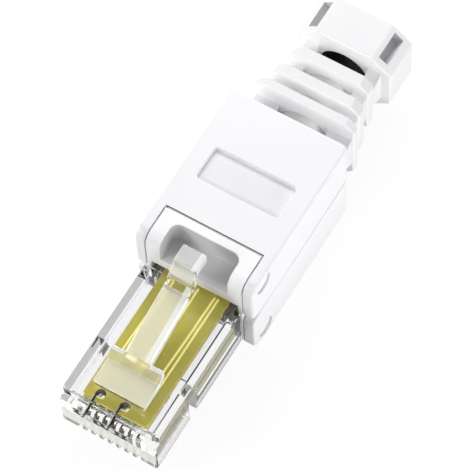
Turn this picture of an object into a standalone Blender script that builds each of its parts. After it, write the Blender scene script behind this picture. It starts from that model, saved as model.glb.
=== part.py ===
"""Field termination ethernet plug, at real size in metres.

Across the plug is X, nose to tail is Y and up is Z. The origin is on the resting plane,
midway along the length. Inside this file lengths are measured from the nose's front tip, and
one empty moves the whole plug back by half its length.

The clear nose, the board and the cable boot are carried by a fixed frame. Two half shells swing
on the frame's four pivot stubs and close over the wire terminals.
"""

import math

import bmesh
import bpy
from mathutils import Matrix, Vector

MM = 0.001

# Clearances
FIT_GAP = 0.3 * MM          # between pieces that seat on each other
SEAM_GAP = 0.15 * MM        # between mouldings whose joint line shows
PIN_CLEARANCE = 0.08 * MM   # around a pivot stub
BLADE_CLEARANCE = 0.2 * MM  # around a wire terminal in its pocket

# Clear nose
NOSE_WIDTH = 11.68 * MM
NOSE_REACH = 17.3 * MM      # front tip to shoulder
NOSE_WALL = 0.95 * MM
NOSE_TOP_WALL = 0.6 * MM
NOSE_FLOOR = 4.2 * MM       # underside to the floor under the board
NOSE_LIP = 0.8 * MM         # how far the front tip stands out below the top
NOSE_LIP_DROP = 1.4 * MM
NOSE_FRONT_WALL = 0.4 * MM
NOSE_TIP_WALL = 0.45 * MM    # ahead of the contacts, above the slots' mouths
NOSE_SHOULDER = 0.84 * MM   # how far the tail is set in on each side
NOSE_TAIL = 6.2 * MM        # shoulder to rear end
NOSE_TAIL_WALL = 0.8 * MM
NOSE_BELLY_STEP = 0.6 * MM
NOSE_BELLY_SKIN = 1.0 * MM
NOSE_EDGE = 0.25 * MM
FLANK_SLOT_START = 6.6 * MM
FLANK_SLOT_WIDTH = 1.4 * MM
FLANK_SLOT_DEPTH = 1.24 * MM
FLANK_SLOT_HEIGHT = 4.6 * MM

# Contacts in the nose
CONTACT_COUNT = 8
CONTACT_PITCH = 1.02 * MM
CONTACT_THICKNESS = 0.35 * MM
CONTACT_LENGTH = 5.6 * MM
CONTACT_SIDE_GAP = 0.13 * MM
CONTACT_MOUTH = 1.1 * MM     # height of a slot's opening in the front tip
CONTACT_HEAD = 2.3 * MM
CONTACT_FRONT_RADIUS = 0.7 * MM
CONTACT_STEM = 1.8 * MM

# Circuit board
BOARD_THICKNESS = 1.0 * MM
BOARD_HEADROOM = 0.5 * MM
BOARD_CORNER = 0.4 * MM
BOARD_HOLE_RADIUS = 0.55 * MM
BOARD_HOLE_SETBACK = 0.85 * MM
BOARD_HOLES_X = (-2.14 * MM, 0.79 * MM)

# Latch
LATCH_START = 2.6 * MM
LATCH_FOOT = 2.7 * MM         # length of the flat underside
LATCH_HINGE = 1.4 * MM        # front edge to the line it bends about
LATCH_FOLD = 2.9 * MM         # front edge to the fold where it turns up
LATCH_FOLD_RISE = 0.15 * MM
LATCH_FRONT_THICKNESS = 0.7 * MM
LATCH_THICKNESS = 1.25 * MM
LATCH_SHOULDER = 6.6 * MM
LATCH_SHOULDER_WIDTH = 6.4 * MM
LATCH_SHOULDER_RISE = 2.3 * MM
LATCH_STEM_WIDTH = 3.1 * MM
LATCH_STEP = 14.2 * MM
LATCH_STEP_RISE = 4.0 * MM
LATCH_STEP_HEIGHT = 0.35 * MM
LATCH_LANDING = 0.8 * MM      # step to the foot of the ramp
LATCH_LANDING_RISE = 0.2 * MM
LATCH_RAMP_LEAN = 0.5 * MM    # underside of the ramp, behind its upper face
LATCH_PAD_LENGTH = 2.2 * MM
LATCH_PAD_WIDTH = 2.8 * MM
LATCH_PAD_RISE = 6.7 * MM
LATCH_OVERHANG = 0.75 * MM
LATCH_EDGE = 0.12 * MM

# Frame
FRAME_DEPTH = 4.3 * MM
FRAME_SIDE = 0.5 * MM
FRAME_BELLY = 2.3 * MM
FRAME_MOUTH_HEADROOM = 0.4 * MM
FRAME_BAR = 1.4 * MM
FRAME_CORNER = 1.4 * MM
FRAME_REAR_EDGE = 0.1 * MM
RECESS_DEPTH = 3.3 * MM
RECESS_WIDTH = 8.2 * MM
RECESS_LENGTH = 3.25 * MM
RECESS_CORNER = 1.0 * MM
PIVOT_RADIUS = 1.2 * MM
PIVOT_SETBACK = 2.4 * MM
PIVOT_INSET = 1.7 * MM
PIVOT_SUNK = 0.25 * MM        # a stub's end, below the housing's flank

# Half shells
SHELL_SIDE = 1.2 * MM
SHELL_ROOF = 1.2 * MM
SHELL_REAR = 1.2 * MM
SHELL_GROOVE = 0.2 * MM
SHELL_UNDERCUT = 0.5 * MM
SHELL_EDGE = 0.3 * MM
SHELL_REAR_CORNER = 0.7 * MM
LABEL_WIDTH = 10.0 * MM
LABEL_LENGTH = 4.2 * MM
LABEL_CORNER = 0.5 * MM
LABEL_DEPTH = 0.5 * MM
LABEL_SETBACK = 4.35 * MM   # roof's front edge to the label recess

# Wire terminals and their blocks
TERMINALS_PER_ROW = 4
TERMINAL_WIDTH = 1.1 * MM
TERMINAL_THICKNESS = 0.4 * MM
TERMINAL_HEIGHT = 2.5 * MM
TERMINAL_SLOT = 0.3 * MM
TERMINAL_SLOT_DEPTH = 1.3 * MM
TERMINAL_EDGE_MARGIN = 0.2 * MM
BLOCK_LENGTH = 6.0 * MM
BLOCK_HEIGHT = 2.8 * MM
BLOCK_SETBACK = 0.5 * MM
CHANNEL_WIDTH = 1.2 * MM
CHANNEL_DEPTH = 1.6 * MM
PRESSER_WIDTH = 0.7 * MM
PRESSER_ENTRY = 0.8 * MM    # how far a pressing rib enters its channel
PRESSER_RELIEF = 1.3 * MM   # room ahead of a terminal for the rib's swing

# Wire manager
MANAGER_LENGTH = 4.0 * MM
MANAGER_HEIGHT = 8.6 * MM
MANAGER_WALL = 1.0 * MM
MANAGER_CORNER = 0.8 * MM
ARM_WIDTH = 0.7 * MM
WIRE_HOLE_RADIUS = 0.6 * MM
CABLE_RADIUS = 2.9 * MM
TUBE_WALL = 0.35 * MM
TUBE_LENGTH = 2.6 * MM

# Boot
NECK_WALL = 0.6 * MM         # round the seat of the guide tube
NECK_LENGTH = 2.5 * MM
FLANGE_RADIUS = 5.2 * MM
FLANGE_THICKNESS = 1.2 * MM
RIB_GAPS = (2.7 * MM, 1.25 * MM, 1.45 * MM)
RIB_DEPTHS = (1.15 * MM, 1.45 * MM, 1.45 * MM)
RIB_WIDTHS = (12.4 * MM, 10.9 * MM, 9.8 * MM)
RIB_HEIGHTS = (10.5 * MM, 9.6 * MM, 9.2 * MM)
RIB_TAPER = 0.3 * MM
RIB_CORNER = 1.1 * MM
RIB_EDGE = 0.15 * MM
WEB_NARROW = 1.1 * MM       # half height of a web at its front end
WEB_WIDE = 3.0 * MM         # half height of a web at its rear end
COLLAR_GAP = 1.85 * MM
COLLAR_LENGTH = 5.0 * MM
COLLAR_WIDTH = 11.5 * MM
COLLAR_HEIGHT = 9.6 * MM
COLLAR_TOP_FACET = 6.8 * MM
COLLAR_SIDE_FACET = 5.8 * MM
COLLAR_EDGE = 0.2 * MM
VENT_WIDTH = 1.4 * MM
VENT_LENGTH = 3.5 * MM
VENT_SETBACK = 0.9 * MM
VENT_DEPTH = 1.4 * MM
VENT_PLACE = 0.42           # along the sloping facet, from the top facet

# Widths that follow
NOSE_HALF = NOSE_WIDTH / 2
TAIL_HALF = NOSE_HALF - NOSE_SHOULDER
TAIL_BAY_HALF = TAIL_HALF - NOSE_TAIL_WALL
BOARD_HALF = TAIL_BAY_HALF - FIT_GAP
MOUTH_HALF = TAIL_HALF + FIT_GAP
FRAME_HALF = MOUTH_HALF + FRAME_SIDE
BAY_HALF = FRAME_HALF + SEAM_GAP
HOUSING_HALF = BAY_HALF + SHELL_SIDE
ARM_INNER = BOARD_HALF + FIT_GAP
BLOCK_HALF = ARM_INNER + ARM_WIDTH
TERMINAL_PITCH = (2 * (BOARD_HALF - TERMINAL_EDGE_MARGIN) - TERMINAL_WIDTH) / (TERMINALS_PER_ROW - 1)

# Heights that follow, from the resting plane up
TAIL_BOTTOM = FRAME_BELLY + FIT_GAP
NOSE_BOTTOM = TAIL_BOTTOM - NOSE_BELLY_STEP
FLOOR_TOP = NOSE_BOTTOM + NOSE_FLOOR
BOARD_BOTTOM = FLOOR_TOP + FIT_GAP
BOARD_TOP = BOARD_BOTTOM + BOARD_THICKNESS
BAY_TOP = BOARD_TOP + BOARD_HEADROOM
NOSE_TOP = BAY_TOP + NOSE_TOP_WALL
MOUTH_TOP = NOSE_TOP + FRAME_MOUTH_HEADROOM
BAR_TOP = MOUTH_TOP + FRAME_BAR
HOUSING_TOP = BAR_TOP + RECESS_DEPTH
AXIS_HEIGHT = HOUSING_TOP / 2
UPPER_PIVOT = HOUSING_TOP - PIVOT_INSET
LOWER_PIVOT = PIVOT_INSET

# Stations that follow, from the nose's front tip back
BOARD_START = NOSE_LIP + NOSE_FRONT_WALL + FIT_GAP
CONTACT_START = NOSE_TIP_WALL + FIT_GAP
FRAME_START = NOSE_REACH + FIT_GAP
FRAME_END = FRAME_START + FRAME_DEPTH
PIVOT_STATION = FRAME_START + PIVOT_SETBACK
ROOF_START = FRAME_END + SHELL_GROOVE
TAIL_END = NOSE_REACH + NOSE_TAIL
BLOCK_START = TAIL_END + BLOCK_SETBACK
BLOCK_END = BLOCK_START + BLOCK_LENGTH
TERMINAL_STATION = (BLOCK_START + BLOCK_END) / 2
BOARD_END = BLOCK_END + FIT_GAP
MANAGER_START = BOARD_END + FIT_GAP
MANAGER_END = MANAGER_START + MANAGER_LENGTH
FLANGE_START = MANAGER_END + FIT_GAP
FLANGE_END = FLANGE_START + FLANGE_THICKNESS
REAR_WALL_START = FLANGE_END + FIT_GAP
HOUSING_END = REAR_WALL_START + SHELL_REAR
TUBE_END = MANAGER_END + TUBE_LENGTH
TUBE_RADIUS = CABLE_RADIUS + TUBE_WALL
TUBE_SEAT_RADIUS = TUBE_RADIUS + FIT_GAP
NECK_RADIUS = TUBE_SEAT_RADIUS + NECK_WALL
COLLAR_START = HOUSING_END + sum(RIB_GAPS) + sum(RIB_DEPTHS) + COLLAR_GAP
PLUG_LENGTH = COLLAR_START + COLLAR_LENGTH

ROUND_SIDES = 32
PAST = 1.0 * MM             # how far a cutter runs past the face it opens


def clear_scene():
    for old in list(bpy.data.objects):
        bpy.data.objects.remove(old, do_unlink=True)


def plastic(name, colour, roughness, metallic=0.0, transmission=0.0):
    material = bpy.data.materials.new(name)
    material.use_nodes = True
    shader = material.node_tree.nodes["Principled BSDF"]
    shader.inputs["Base Color"].default_value = (*colour, 1.0)
    shader.inputs["Roughness"].default_value = roughness
    shader.inputs["Metallic"].default_value = metallic
    shader.inputs["Transmission Weight"].default_value = transmission
    material.diffuse_color = (*colour, 1.0)
    return material


def arc(centre, radius, start, end, steps):
    """Points on a circle from one angle to another, in degrees."""
    points = []
    for step in range(steps + 1):
        angle = math.radians(start + (end - start) * step / steps)
        points.append((centre[0] + radius * math.cos(angle), centre[1] + radius * math.sin(angle)))
    return points


def rectangle(low, high):
    return [(low[0], low[1]), (high[0], low[1]), (high[0], high[1]), (low[0], high[1])]


def rounded_rectangle(half_width, half_height, corner, steps=4, centre=(0.0, 0.0)):
    points = []
    for quarter, (side, level) in enumerate(((1, 1), (-1, 1), (-1, -1), (1, -1))):
        middle = (centre[0] + side * (half_width - corner), centre[1] + level * (half_height - corner))
        points += arc(middle, corner, 90 * quarter, 90 * quarter + 90, steps)
    return points


def prism(name, outline, axis, low, high):
    """A closed outline pushed along an axis. X takes (y, z), Y takes (x, z) and Z takes (x, y)."""
    def place(point, along):
        if axis == "X":
            return Vector((along, point[0], point[1]))
        if axis == "Y":
            return Vector((point[0], along, point[1]))
        return Vector((point[0], point[1], along))

    work = bmesh.new()
    corners = [work.verts.new(place(point, low)) for point in outline]
    face = work.faces.new(corners)
    pushed = bmesh.ops.extrude_face_region(work, geom=[face])
    moved = [item for item in pushed["geom"] if isinstance(item, bmesh.types.BMVert)]
    bmesh.ops.translate(work, verts=moved, vec=place((0.0, 0.0), high - low))
    bmesh.ops.recalc_face_normals(work, faces=work.faces)
    return finish(name, work)


def finish(name, work):
    mesh = bpy.data.meshes.new(name)
    work.to_mesh(mesh)
    work.free()
    piece = bpy.data.objects.new(name, mesh)
    bpy.context.scene.collection.objects.link(piece)
    return piece


def block(name, low, high):
    return prism(name, rectangle(low[:2], high[:2]), "Z", low[2], high[2])


def rod(name, centre, axis, radius, low, high, sides=ROUND_SIDES):
    outline = arc(centre, radius, 0, 360, sides)[:-1]
    return prism(name, outline, axis, low, high)


def round_edges(piece, width, segments, chosen):
    """Rounds the edges for which chosen(edge) is true."""
    work = bmesh.new()
    work.from_mesh(piece.data)
    edges = [edge for edge in work.edges if chosen(edge)]
    bmesh.ops.bevel(
        work, geom=edges, offset=width, offset_type="OFFSET", segments=segments,
        profile=0.5, affect="EDGES", clamp_overlap=True,
    )
    bmesh.ops.recalc_face_normals(work, faces=work.faces)
    work.to_mesh(piece.data)
    work.free()


def is_sharp(edge, degrees=30):
    return len(edge.link_faces) == 2 and edge.calc_face_angle() > math.radians(degrees)


def settle(piece):
    """Puts the result of a piece's modifiers into its mesh."""
    graph = bpy.context.evaluated_depsgraph_get()
    result = bpy.data.meshes.new_from_object(piece.evaluated_get(graph))
    piece.modifiers.clear()
    piece.data = result


def combine(piece, tool, operation):
    boolean = piece.modifiers.new(operation.lower(), "BOOLEAN")
    boolean.operation = operation
    boolean.solver = "EXACT"
    boolean.object = tool
    settle(piece)
    bpy.data.objects.remove(tool, do_unlink=True)


def cut(piece, tool):
    combine(piece, tool, "DIFFERENCE")


def join(piece, tool):
    combine(piece, tool, "UNION")


def complete(piece, material, root, origin=None):
    """Gives a piece its material, its origin and its place under the root."""
    piece.data.materials.clear()
    piece.data.materials.append(material)
    piece.data.shade_smooth()
    piece.data.set_sharp_from_angle(angle=math.radians(35))
    if origin is not None:
        piece.data.transform(Matrix.Translation(-Vector(origin)))
        piece.location = origin
    piece.parent = root
    return piece


def terminal_places():
    """Places across the plug of the wire terminals of one row."""
    first = -TERMINAL_PITCH * (TERMINALS_PER_ROW - 1) / 2
    return [first + TERMINAL_PITCH * number for number in range(TERMINALS_PER_ROW)]


def contact_places():
    first = -CONTACT_PITCH * (CONTACT_COUNT - 1) / 2
    return [first + CONTACT_PITCH * number for number in range(CONTACT_COUNT)]


def make_nose():
    lip_top = NOSE_TOP - NOSE_LIP_DROP
    side = [
        (0.0, NOSE_BOTTOM), (0.0, lip_top), (NOSE_LIP, lip_top), (NOSE_LIP, NOSE_TOP),
        (NOSE_REACH, NOSE_TOP), (NOSE_REACH, NOSE_BOTTOM),
    ]
    nose = prism("plug_nose", side, "X", -NOSE_HALF, NOSE_HALF)
    round_edges(nose, NOSE_EDGE, 2, is_sharp)
    tail = block(
        "tail", (-TAIL_HALF, NOSE_REACH - PAST, TAIL_BOTTOM), (TAIL_HALF, TAIL_END, NOSE_TOP - NOSE_EDGE)
    )
    join(nose, tail)

    bay_half = NOSE_HALF - NOSE_WALL
    bay_end = NOSE_REACH - NOSE_WALL
    cut(nose, block(
        "board_bay", (-bay_half, NOSE_LIP + NOSE_FRONT_WALL, FLOOR_TOP), (bay_half, bay_end, BAY_TOP)
    ))
    cut(nose, block(
        "tail_bay", (-TAIL_BAY_HALF, bay_end - PAST, FLOOR_TOP), (TAIL_BAY_HALF, TAIL_END + PAST, BAY_TOP)
    ))
    hollow_start = FLANK_SLOT_START + FLANK_SLOT_WIDTH + NOSE_WALL
    cut(nose, block(
        "lower_hollow",
        (-TAIL_BAY_HALF, hollow_start, TAIL_BOTTOM + NOSE_BELLY_SKIN / 2),
        (TAIL_BAY_HALF, TAIL_END + PAST, FLOOR_TOP - NOSE_BELLY_SKIN),
    ))
    slot_half = CONTACT_THICKNESS / 2 + CONTACT_SIDE_GAP
    slot_end = CONTACT_START + CONTACT_LENGTH + FIT_GAP
    mouth_top = NOSE_BOTTOM + CONTACT_MOUTH
    slot_side = [
        (-PAST, NOSE_BOTTOM - PAST), (slot_end, NOSE_BOTTOM - PAST), (slot_end, FLOOR_TOP + FIT_GAP),
        (NOSE_TIP_WALL, FLOOR_TOP + FIT_GAP), (NOSE_TIP_WALL, mouth_top), (-PAST, mouth_top),
    ]
    for place in contact_places():
        cut(nose, prism("contact_slot", slot_side, "X", place - slot_half, place + slot_half))
    for side in (-1, 1):
        outer = side * (NOSE_HALF + PAST)
        inner = side * (NOSE_HALF - FLANK_SLOT_DEPTH)
        cut(nose, block(
            "flank_slot",
            (min(outer, inner), FLANK_SLOT_START, NOSE_BOTTOM - PAST),
            (max(outer, inner), FLANK_SLOT_START + FLANK_SLOT_WIDTH, NOSE_BOTTOM + FLANK_SLOT_HEIGHT),
        ))
    return nose


def make_contact(number, place):
    """A stamped blade: a round toe and a flat sole at the nose's underside, a stem up to the board."""
    sole = NOSE_BOTTOM + FIT_GAP
    front = CONTACT_START
    rear = front + CONTACT_LENGTH
    head = sole + CONTACT_HEAD
    stem_end = front + CONTACT_STEM
    toe = arc(
        (front + CONTACT_FRONT_RADIUS, sole + CONTACT_FRONT_RADIUS), CONTACT_FRONT_RADIUS, 270, 180, 5
    )
    outline = toe + [
        (front, FLOOR_TOP), (stem_end, FLOOR_TOP),
        (stem_end, head), (rear - CONTACT_FRONT_RADIUS, head - CONTACT_FRONT_RADIUS), (rear, sole),
    ]
    half = CONTACT_THICKNESS / 2
    return prism(f"contact_{number}", outline, "X", place - half, place + half)


def make_board():
    board = block(
        "circuit_board", (-BOARD_HALF, BOARD_START, BOARD_BOTTOM), (BOARD_HALF, BOARD_END, BOARD_TOP)
    )
    round_edges(
        board, BOARD_CORNER, 3,
        lambda edge: abs(edge.verts[0].co.z - edge.verts[1].co.z) > BOARD_THICKNESS / 2,
    )
    for place in BOARD_HOLES_X:
        cut(board, rod(
            "plated_hole", (place, BOARD_START + BOARD_HOLE_SETBACK), "Z",
            BOARD_HOLE_RADIUS, BOARD_BOTTOM - PAST, BOARD_TOP + PAST, sides=20,
        ))
    return board


def make_latch():
    """A tongue on the nose's front: a flat foot, wide shoulders, a narrow stem and a raised pad."""
    foot = NOSE_TOP + FIT_GAP
    pad_end = FRAME_START + LATCH_OVERHANG
    pad_start = pad_end - LATCH_PAD_LENGTH
    fold = LATCH_START + LATCH_FOLD
    foot_level = foot + LATCH_FRONT_THICKNESS
    shoulder_level = foot + LATCH_SHOULDER_RISE
    step_level = foot + LATCH_STEP_RISE
    landing_level = step_level + LATCH_STEP_HEIGHT
    pad_level = foot + LATCH_PAD_RISE
    ramp_start = LATCH_STEP + LATCH_LANDING
    lean = LATCH_RAMP_LEAN
    upper = [
        (LATCH_START, foot_level), (fold, foot_level + LATCH_FOLD_RISE), (LATCH_SHOULDER, shoulder_level),
        (LATCH_STEP, step_level), (LATCH_STEP, landing_level),
        (ramp_start, landing_level + LATCH_LANDING_RISE), (pad_start, pad_level), (pad_end, pad_level),
    ]
    lower = [
        (pad_end, pad_level - LATCH_THICKNESS), (pad_start + lean, pad_level - LATCH_THICKNESS),
        (ramp_start + lean, landing_level + LATCH_LANDING_RISE - LATCH_THICKNESS),
        (LATCH_SHOULDER, shoulder_level - LATCH_THICKNESS),
        (LATCH_START + LATCH_FOOT, foot), (LATCH_START, foot),
    ]
    latch = prism("latch", upper + lower, "X", -LATCH_STEM_WIDTH / 2, LATCH_STEM_WIDTH / 2)
    for corner in latch.data.vertices:
        if corner.co.y > pad_start - FIT_GAP:
            corner.co.x *= LATCH_PAD_WIDTH / LATCH_STEM_WIDTH
    shoulders = upper[:3] + lower[-3:]
    wide = prism("shoulders", shoulders, "X", -LATCH_SHOULDER_WIDTH / 2, LATCH_SHOULDER_WIDTH / 2)
    join(latch, wide)
    round_edges(latch, LATCH_EDGE, 1, is_sharp)
    return latch


def make_frame():
    corner_steps = 6
    side = arc((FRAME_START + FRAME_CORNER, FRAME_CORNER), FRAME_CORNER, 270, 180, corner_steps)
    side += arc(
        (FRAME_START + FRAME_CORNER, HOUSING_TOP - FRAME_CORNER), FRAME_CORNER, 180, 90, corner_steps
    )
    edge = FRAME_REAR_EDGE
    side += [
        (FRAME_END - edge, HOUSING_TOP), (FRAME_END, HOUSING_TOP - edge), (FRAME_END, edge),
        (FRAME_END - edge, 0.0),
    ]
    frame = prism("plug_frame", side, "X", -FRAME_HALF, FRAME_HALF)
    cut(frame, block(
        "mouth",
        (-MOUTH_HALF, FRAME_START - PAST, FRAME_BELLY), (MOUTH_HALF, FRAME_END + PAST, MOUTH_TOP),
    ))
    recess_end = FRAME_START + RECESS_LENGTH
    half = RECESS_WIDTH / 2
    plan = [(-half, FRAME_START - PAST), (half, FRAME_START - PAST)]
    plan += arc((half - RECESS_CORNER, recess_end - RECESS_CORNER), RECESS_CORNER, 0, 90, 5)
    plan += arc((-half + RECESS_CORNER, recess_end - RECESS_CORNER), RECESS_CORNER, 90, 180, 5)
    cut(frame, prism("finger_recess", plan, "Z", BAR_TOP, HOUSING_TOP + PAST))
    for level in (LOWER_PIVOT, UPPER_PIVOT):
        for side in (-1, 1):
            root = side * (FRAME_HALF - FRAME_SIDE)
            tip = side * (HOUSING_HALF - PIVOT_SUNK)
            join(frame, rod(
                "pivot_stub", (PIVOT_STATION, level), "X", PIVOT_RADIUS, min(root, tip), max(root, tip)
            ))
    return frame


def make_shell(name, side, has_label):
    """One half of the housing. Heights are measured from the mid plane, up or down."""
    roof = AXIS_HEIGHT
    pivot_height = roof - PIVOT_INSET
    parting = SEAM_GAP / 2
    heel_radius = pivot_height - parting
    heel_end = 180 + math.degrees(math.acos(PIVOT_SETBACK / heel_radius))
    outline = arc((PIVOT_STATION, pivot_height), heel_radius, heel_end, 270, 6)
    outline += [(HOUSING_END, parting), (HOUSING_END, roof)]
    outline += arc(
        (FRAME_START + FRAME_CORNER, roof - FRAME_CORNER), FRAME_CORNER, 90, 180, 6
    )

    def mirrored(points):
        return [(station, AXIS_HEIGHT + side * height) for station, height in points]

    def height_of(corner):
        return side * (corner.co.z - AXIS_HEIGHT)

    shell = prism(name, mirrored(outline), "X", -HOUSING_HALF, HOUSING_HALF)
    near = SEAM_GAP / 10
    round_edges(
        shell, SHELL_REAR_CORNER, 4,
        lambda edge: all(corner.co.y > HOUSING_END - near for corner in edge.verts)
        and abs(edge.verts[0].co.z - edge.verts[1].co.z) > roof / 2,
    )
    round_edges(
        shell, SHELL_EDGE, 2,
        lambda edge: is_sharp(edge)
        and (max(height_of(corner) for corner in edge.verts) > parting + near),
    )

    inner = roof - SHELL_ROOF
    hollow = [
        (FRAME_START - PAST, -PAST), (REAR_WALL_START, -PAST), (REAR_WALL_START, inner),
        (FRAME_START - PAST, inner),
    ]
    cut(shell, prism("hollow", mirrored(hollow), "X", -BAY_HALF, BAY_HALF))
    slope = SHELL_UNDERCUT / SHELL_ROOF
    front_bay = [
        (FRAME_START - PAST, inner - PAST), (ROOF_START + SHELL_UNDERCUT + slope * PAST, inner - PAST),
        (ROOF_START - slope * PAST, roof + PAST), (FRAME_START - PAST, roof + PAST),
    ]
    cut(shell, prism("frame_bay", mirrored(front_bay), "X", -BAY_HALF, BAY_HALF))
    cut(shell, rod(
        "boot_opening", (0.0, AXIS_HEIGHT), "Y", NECK_RADIUS + FIT_GAP,
        REAR_WALL_START - PAST, HOUSING_END + PAST,
    ))
    cut(shell, rod(
        "pivot_hole", (PIVOT_STATION, AXIS_HEIGHT + side * pivot_height), "X",
        PIVOT_RADIUS + PIN_CLEARANCE, -HOUSING_HALF - PAST, HOUSING_HALF + PAST,
    ))
    for place in terminal_places():
        join(shell, make_presser(place, side, mirrored))
    if has_label:
        label_middle = ROOF_START + LABEL_SETBACK + LABEL_LENGTH / 2
        plan = rounded_rectangle(
            LABEL_WIDTH / 2, LABEL_LENGTH / 2, LABEL_CORNER, centre=(0.0, label_middle)
        )
        floor = AXIS_HEIGHT + side * (roof - LABEL_DEPTH)
        cut(shell, prism("label_recess", plan, "Z", floor, HOUSING_TOP + PAST))
    return shell


def make_presser(place, side, mirrored):
    """A rib inside a shell that presses one wire down into its terminal."""
    channel_mouth = side * ((BOARD_TOP if side > 0 else BOARD_BOTTOM) - AXIS_HEIGHT) + FIT_GAP + BLOCK_HEIGHT
    tip = channel_mouth - PRESSER_ENTRY
    notch = side * ((BOARD_TOP if side > 0 else BOARD_BOTTOM) - AXIS_HEIGHT) + 3 * FIT_GAP + TERMINAL_HEIGHT
    root = AXIS_HEIGHT - SHELL_ROOF / 2
    front = BLOCK_START + FIT_GAP
    rear = BLOCK_END - FIT_GAP
    notch_front = TERMINAL_STATION - TERMINAL_THICKNESS / 2 - PRESSER_RELIEF
    notch_rear = TERMINAL_STATION + TERMINAL_THICKNESS / 2 + FIT_GAP
    outline = [
        (front, root), (front, tip), (notch_front, tip), (notch_front, notch),
        (notch_rear, notch), (notch_rear, tip), (rear, tip), (rear, root),
    ]
    half = PRESSER_WIDTH / 2
    return prism("presser", mirrored(outline), "X", place - half, place + half)


def make_terminal_block(name, side):
    """A comb of wire channels on one face of the board, open at both ends and on top."""
    seat = BOARD_TOP + FIT_GAP if side > 0 else BOARD_BOTTOM - FIT_GAP
    top = seat + side * BLOCK_HEIGHT
    floor = top - side * CHANNEL_DEPTH
    section = [(-BLOCK_HALF, seat), (-BLOCK_HALF, top)]
    for place in terminal_places():
        left = place - CHANNEL_WIDTH / 2
        right = place + CHANNEL_WIDTH / 2
        section += [(left, top), (left, floor), (right, floor), (right, top)]
    section += [(BLOCK_HALF, top), (BLOCK_HALF, seat)]
    comb = prism(name, section, "Y", BLOCK_START, BLOCK_END)
    half_width = TERMINAL_WIDTH / 2 + BLADE_CLEARANCE
    half_length = TERMINAL_THICKNESS / 2 + BLADE_CLEARANCE
    for place in terminal_places():
        cut(comb, block(
            "terminal_pocket",
            (place - half_width, TERMINAL_STATION - half_length, min(seat, top) - PAST),
            (place + half_width, TERMINAL_STATION + half_length, max(seat, top) + PAST),
        ))
    return comb


def make_terminal(number, place, side):
    """A forked blade that stands on the board and cuts into the wire pressed between its tines."""
    seat = BOARD_TOP + FIT_GAP if side > 0 else BOARD_BOTTOM - FIT_GAP
    half = TERMINAL_WIDTH / 2
    slot = TERMINAL_SLOT / 2
    tip = TERMINAL_HEIGHT
    bottom = TERMINAL_HEIGHT - TERMINAL_SLOT_DEPTH
    fork = [
        (-half, 0.0), (half, 0.0), (half, tip - slot), (2 * slot, tip), (slot, tip - 2 * slot),
        (slot, bottom), (-slot, bottom), (-slot, tip - 2 * slot), (-2 * slot, tip), (-half, tip - slot),
    ]
    outline = [(place + across, seat + side * height) for across, height in fork]
    return prism(
        f"wire_terminal_{number}", outline, "Y",
        TERMINAL_STATION - TERMINAL_THICKNESS / 2, TERMINAL_STATION + TERMINAL_THICKNESS / 2,
    )


def make_wire_manager():
    """Spreads the cable's wires to the terminals; its short tube seats in the boot's neck."""
    outline = rounded_rectangle(
        BLOCK_HALF, MANAGER_HEIGHT / 2, MANAGER_CORNER, centre=(0.0, AXIS_HEIGHT)
    )
    manager = prism("wire_manager", outline, "Y", MANAGER_START, MANAGER_END)
    join(manager, rod(
        "tube", (0.0, AXIS_HEIGHT), "Y", TUBE_RADIUS, MANAGER_END - MANAGER_WALL / 2, TUBE_END
    ))
    for side in (-1, 1):
        inner = side * ARM_INNER
        outer = side * BLOCK_HALF
        join(manager, block(
            "arm",
            (min(inner, outer), BLOCK_START + FIT_GAP, BOARD_BOTTOM),
            (max(inner, outer), MANAGER_START + MANAGER_WALL / 2, BOARD_TOP),
        ))
    half_width = BLOCK_HALF - MANAGER_WALL
    half_height = MANAGER_HEIGHT / 2 - MANAGER_WALL
    cut(manager, block(
        "chamber",
        (-half_width, MANAGER_START + MANAGER_WALL, AXIS_HEIGHT - half_height),
        (half_width, MANAGER_END - MANAGER_WALL, AXIS_HEIGHT + half_height),
    ))
    cut(manager, rod(
        "cable_bore", (0.0, AXIS_HEIGHT), "Y", CABLE_RADIUS, MANAGER_END - 2 * MANAGER_WALL, TUBE_END + PAST
    ))
    wire_level = BLOCK_HEIGHT - CHANNEL_DEPTH / 2 + FIT_GAP
    for place in terminal_places():
        for level in (BOARD_TOP + wire_level, BOARD_BOTTOM - wire_level):
            cut(manager, rod(
                "wire_hole", (place, level), "Y", WIRE_HOLE_RADIUS,
                MANAGER_START - PAST, MANAGER_START + 2 * MANAGER_WALL, sides=12,
            ))
    return manager


def make_boot():
    """One soft moulding: a trapped flange, a neck, three open ribs on side webs and a ribbed collar."""
    boot = rod(
        "strain_relief_boot", (0.0, AXIS_HEIGHT), "Y", FLANGE_RADIUS, FLANGE_START, FLANGE_END
    )
    join(boot, rod(
        "neck", (0.0, AXIS_HEIGHT), "Y", NECK_RADIUS, FLANGE_START + FLANGE_THICKNESS / 2,
        FLANGE_END + NECK_LENGTH,
    ))
    station = HOUSING_END
    last_half = RIB_WIDTHS[0] / 2
    for gap, depth, width, height in zip(RIB_GAPS, RIB_DEPTHS, RIB_WIDTHS, RIB_HEIGHTS):
        start = station + gap
        web_half = min(last_half, width / 2) - RIB_TAPER
        web_start = station + FIT_GAP if station == HOUSING_END else station - depth / 2
        for web in make_webs(web_start, start + depth / 2, web_half):
            join(boot, web)
        join(boot, make_rib(start, start + depth, width, height))
        station = start + depth
        last_half = width / 2
    for web in make_webs(station - COLLAR_GAP / 2, COLLAR_START + COLLAR_GAP / 2, last_half - RIB_TAPER):
        join(boot, web)
    join(boot, make_collar())
    cut(boot, rod(
        "tube_seat", (0.0, AXIS_HEIGHT), "Y", TUBE_SEAT_RADIUS, FLANGE_START - PAST, TUBE_END + FIT_GAP
    ))
    cut(boot, rod(
        "boot_bore", (0.0, AXIS_HEIGHT), "Y", CABLE_RADIUS, FLANGE_START - PAST, PLUG_LENGTH + PAST
    ))
    return boot


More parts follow.
